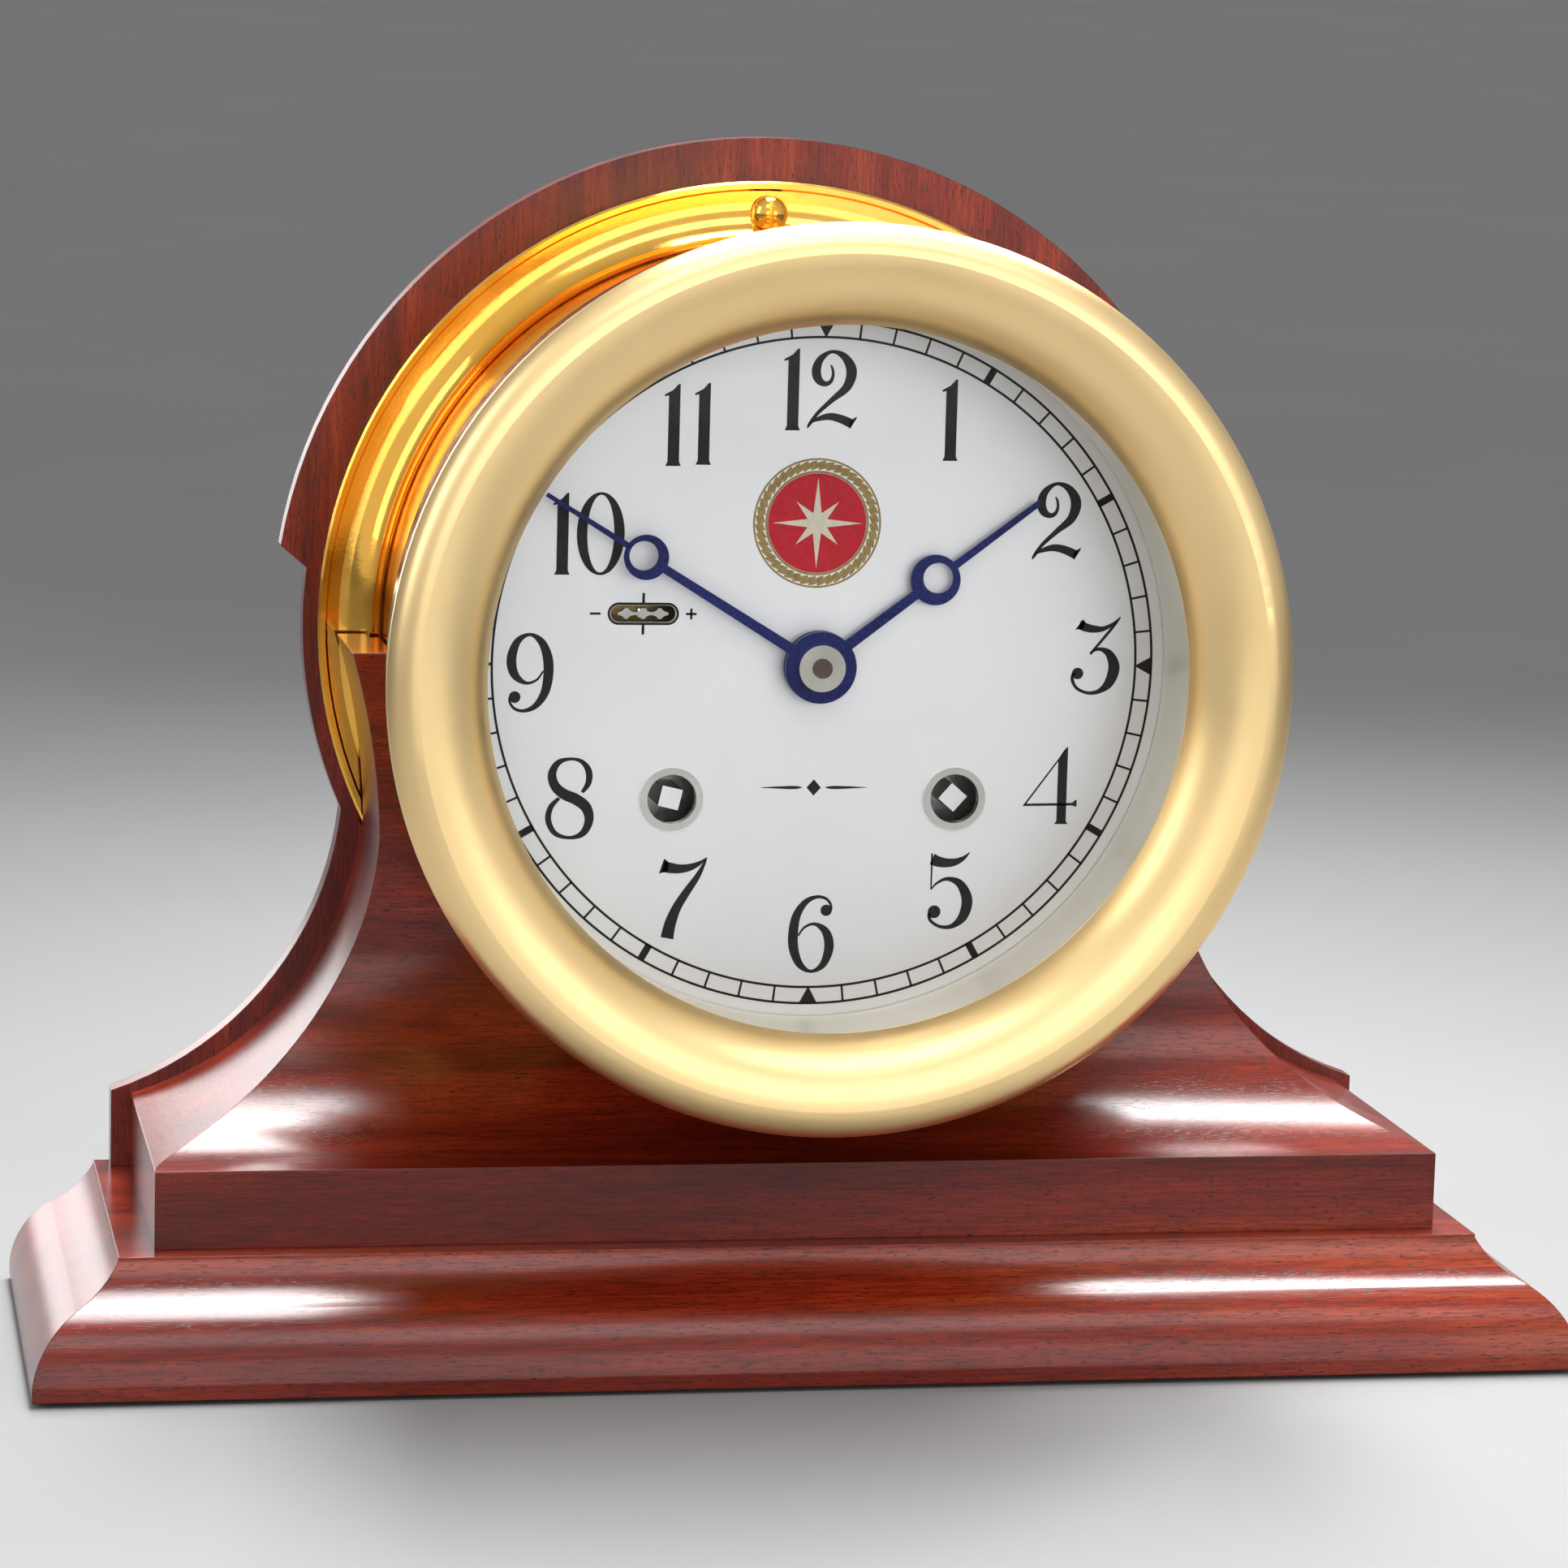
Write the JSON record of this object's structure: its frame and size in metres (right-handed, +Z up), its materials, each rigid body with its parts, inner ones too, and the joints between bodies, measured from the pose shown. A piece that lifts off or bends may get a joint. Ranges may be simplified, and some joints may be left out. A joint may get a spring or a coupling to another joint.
{
  "type": "ship's bell clock",
  "caption": "Striking ship's clock in a polished brass case with a hinged bezel, cradled in a mahogany mantel stand.",
  "frame": {"origin": "on the resting plane under the middle of the object's bounding box", "axes": "+Z up, +X to the viewer's right when facing the dial, front of the dial towards -Y"},
  "size_m": [0.3202, 0.113, 0.2499],
  "materials": {
    "mahogany": "gloss lacquer over dark red-brown mahogany",
    "felt": "green felt",
    "brass": "high polish, lacquered",
    "plain_brass": "brushed movement brass",
    "bell_metal": "turned bell metal",
    "silvered": "silvered brass, fine circular grain",
    "blued": "blued, polished",
    "steel": "bright ground steel",
    "nickel": "nickel plate",
    "glass": "clear flat glass"
  },
  "bodies": {
    "base": {"plinth": "mahogany", "back_panel": "mahogany", "cradle_block": "mahogany", "base_screws": "steel", "base_felt": "felt", "case_body": "brass", "case_screws": "brass", "case_hinge_leaf": "brass", "hinge_pin": "steel", "dial": "silvered", "reflector_ring": "silvered", "winding_hole_grommets": "silvered", "dial_feet": "plain_brass", "movement_back_plate": "plain_brass", "movement_front_plate": "plain_brass", "movement_pillars": "plain_brass", "pillar_screws": "steel", "movement_posts": "plain_brass", "bell": "bell_metal", "bell_post": "steel", "bell_nut": "steel", "hammer_stud": "steel", "front_plate_studs": "steel"},
    "bezel": {"bezel": "brass", "crystal": "glass", "crystal_retainer": "plain_brass", "bezel_catch_pin": "plain_brass", "bezel_hinge_leaf": "brass"},
    "minute_hand": {"minute_hand": "blued", "hand_collet": "nickel", "hand_screw": "steel", "cannon_pinion": "steel"},
    "hour_hand": {"hour_hand": "blued", "hour_wheel": "plain_brass"},
    "minute_wheel": {"minute_wheel": "plain_brass"},
    "time_barrel": {"time_barrel": "plain_brass", "time_mainspring": "steel"},
    "time_winding_arbor": {"time_winding_arbor": "steel", "time_ratchet_wheel": "steel"},
    "time_click": {"time_click": "steel"},
    "centre_wheel": {"centre_wheel": "plain_brass"},
    "third_wheel": {"third_wheel": "plain_brass"},
    "fourth_wheel": {"fourth_wheel": "plain_brass"},
    "escape_wheel": {"escape_wheel": "plain_brass"},
    "pallet_lever": {"pallet_lever": "steel"},
    "balance": {"balance_wheel": "plain_brass", "hairspring": "blued"},
    "regulator_index": {"regulator_index": "steel"},
    "strike_barrel": {"strike_barrel": "plain_brass", "strike_mainspring": "steel"},
    "strike_winding_arbor": {"strike_winding_arbor": "steel", "strike_ratchet_wheel": "steel"},
    "strike_click": {"strike_click": "steel"},
    "strike_second_wheel": {"strike_second_wheel": "plain_brass"},
    "fly": {"fly": "plain_brass"},
    "bell_hammer": {"bell_hammer": "steel"}
  },
  "joints": [
    {"name": "bezel_hinge", "type": "hinge", "parent": "base", "child": "bezel", "pos_m": [0.0915, -0.04295, 0.1449], "axis": [0, 0, 1], "range_deg": [0, 110]},
    {"name": "minute_hand_turn", "type": "hinge", "parent": "base", "child": "minute_hand", "pos_m": [0, 0.0065, 0.1449], "axis": [0, 1, 0], "continuous": true},
    {"name": "hour_hand_turn", "type": "hinge", "parent": "base", "child": "hour_hand", "pos_m": [0, 0.0065, 0.1449], "axis": [0, 1, 0], "continuous": true},
    {"name": "minute_wheel_turn", "type": "hinge", "parent": "base", "child": "minute_wheel", "pos_m": [0, 0.0065, 0.1589], "axis": [0, 1, 0], "continuous": true},
    {"name": "fourth_wheel_turn", "type": "hinge", "parent": "base", "child": "fourth_wheel", "pos_m": [-0.008, 0.0065, 0.17571], "axis": [0, 1, 0], "continuous": true},
    {"name": "third_wheel_turn", "type": "hinge", "parent": "base", "child": "third_wheel", "pos_m": [-0.016, 0.0065, 0.16071], "axis": [0, 1, 0], "continuous": true},
    {"name": "centre_wheel_turn", "type": "hinge", "parent": "base", "child": "centre_wheel", "pos_m": [0, 0.0065, 0.1449], "axis": [0, 1, 0], "continuous": true},
    {"name": "time_barrel_turn", "type": "hinge", "parent": "base", "child": "time_barrel", "pos_m": [-0.0296, 0.0065, 0.1172], "axis": [0, 1, 0], "continuous": true},
    {"name": "escape_wheel_turn", "type": "hinge", "parent": "base", "child": "escape_wheel", "pos_m": [0.004, 0.0065, 0.18121], "axis": [0, 1, 0], "continuous": true},
    {"name": "pallet_rock", "type": "hinge", "parent": "base", "child": "pallet_lever", "pos_m": [0.0135, 0.0065, 0.18672], "axis": [0, 1, 0], "range_deg": [-6, 6]},
    {"name": "balance_swing", "type": "hinge", "parent": "base", "child": "balance", "pos_m": [0.027, 0.0065, 0.1919], "axis": [0, 1, 0], "range_deg": [-135, 135], "stiffness_Nm_per_rad": 0.000002},
    {"name": "time_winding", "type": "hinge", "parent": "base", "child": "time_winding_arbor", "pos_m": [-0.0296, 0.0065, 0.1172], "axis": [0, 1, 0], "continuous": true},
    {"name": "strike_barrel_turn", "type": "hinge", "parent": "base", "child": "strike_barrel", "pos_m": [0.0296, 0.0065, 0.1172], "axis": [0, 1, 0], "continuous": true},
    {"name": "strike_second_wheel_turn", "type": "hinge", "parent": "base", "child": "strike_second_wheel", "pos_m": [0.0442, 0.0065, 0.15497], "axis": [0, 1, 0], "continuous": true},
    {"name": "fly_turn", "type": "hinge", "parent": "base", "child": "fly", "pos_m": [0.0392, 0.0065, 0.17017], "axis": [0, 1, 0], "continuous": true},
    {"name": "strike_winding", "type": "hinge", "parent": "base", "child": "strike_winding_arbor", "pos_m": [0.0296, 0.0065, 0.1172], "axis": [0, 1, 0], "continuous": true},
    {"name": "hammer_lift", "type": "hinge", "parent": "base", "child": "bell_hammer", "pos_m": [0.02, 0.0065, 0.2069], "axis": [0, 1, 0], "range_deg": [-10, 0], "stiffness_Nm_per_rad": 0.01},
    {"name": "time_click_lift", "type": "hinge", "parent": "base", "child": "time_click", "pos_m": [-0.0434, 0.0065, 0.1222], "axis": [0, 1, 0], "range_deg": [-8, 0], "stiffness_Nm_per_rad": 0.0005},
    {"name": "strike_click_lift", "type": "hinge", "parent": "base", "child": "strike_click", "pos_m": [0.0434, 0.0065, 0.1222], "axis": [0, 1, 0], "range_deg": [0, 8], "stiffness_Nm_per_rad": 0.0005},
    {"name": "regulator_slide", "type": "slide", "parent": "base", "child": "regulator_index", "axis": [1, 0, 0], "range_m": [-0.0014, 0.0014]}
  ],
  "couplings": [
    {"joint": "hour_hand_turn", "follows": "minute_hand_turn", "ratio": 0.083333},
    {"joint": "minute_wheel_turn", "follows": "minute_hand_turn", "ratio": -0.33333},
    {"joint": "third_wheel_turn", "follows": "fourth_wheel_turn", "ratio": -0.13333},
    {"joint": "centre_wheel_turn", "follows": "fourth_wheel_turn", "ratio": 0.016667},
    {"joint": "time_barrel_turn", "follows": "fourth_wheel_turn", "ratio": -0.0035354},
    {"joint": "escape_wheel_turn", "follows": "fourth_wheel_turn", "ratio": -10},
    {"joint": "strike_second_wheel_turn", "follows": "strike_barrel_turn", "ratio": -4.7143},
    {"joint": "fly_turn", "follows": "strike_barrel_turn", "ratio": 33}
  ]
}
